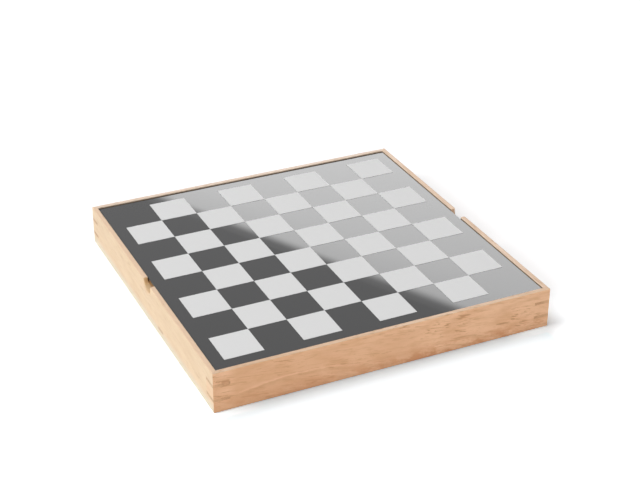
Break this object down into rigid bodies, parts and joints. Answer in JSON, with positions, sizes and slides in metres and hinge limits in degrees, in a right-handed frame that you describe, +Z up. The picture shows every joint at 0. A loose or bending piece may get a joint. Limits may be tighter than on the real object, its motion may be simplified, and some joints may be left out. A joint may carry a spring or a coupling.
{
  "type": "chess board with storage",
  "caption": "Flat square wooden game box whose lift-out glossy dark chess board, with matt light squares, sits in a rebate over divided, felt-lined storage; a finger notch in each side.",
  "frame": {"origin": "middle of the footprint, on the surface that the box stands on", "axes": "+Z up out of the playing surface; +X and -X are the sides with the finger notches, where the players sit with a light square at their right hand; -Y is the plain front wall"},
  "size_m": [0.3586, 0.3586, 0.043],
  "materials": {
    "beech": "satin clear lacquer on pale steamed beech",
    "key_wood": "satin clear lacquer on darker beech",
    "plywood": "fine sanded, clear sealed",
    "felt": "pressed wool felt",
    "fibreboard": "plain hardboard",
    "gloss_black": "high gloss",
    "light_print": "flat matt print"
  },
  "bodies": {
    "box": {"wall_front": "beech", "wall_back": "beech", "wall_left": "beech", "wall_right": "beech", "divider_long": "beech", "divider_cross_front": "beech", "divider_cross_back": "beech", "corner_keys_front_left": "key_wood", "corner_keys_front_right": "key_wood", "corner_keys_back_left": "key_wood", "corner_keys_back_right": "key_wood", "base_panel": "plywood", "felt_front_left": "felt", "felt_front_right": "felt", "felt_middle_left": "felt", "felt_middle_right": "felt", "felt_back_left": "felt", "felt_back_right": "felt"},
    "board": {"backing_board": "fibreboard", "gloss_sheet": "gloss_black", "light_squares": "light_print"}
  },
  "joints": [
    {"name": "board_lift", "type": "slide", "parent": "box", "child": "board", "axis": [0, 0, 1], "range_m": [0, 0.2]}
  ]
}
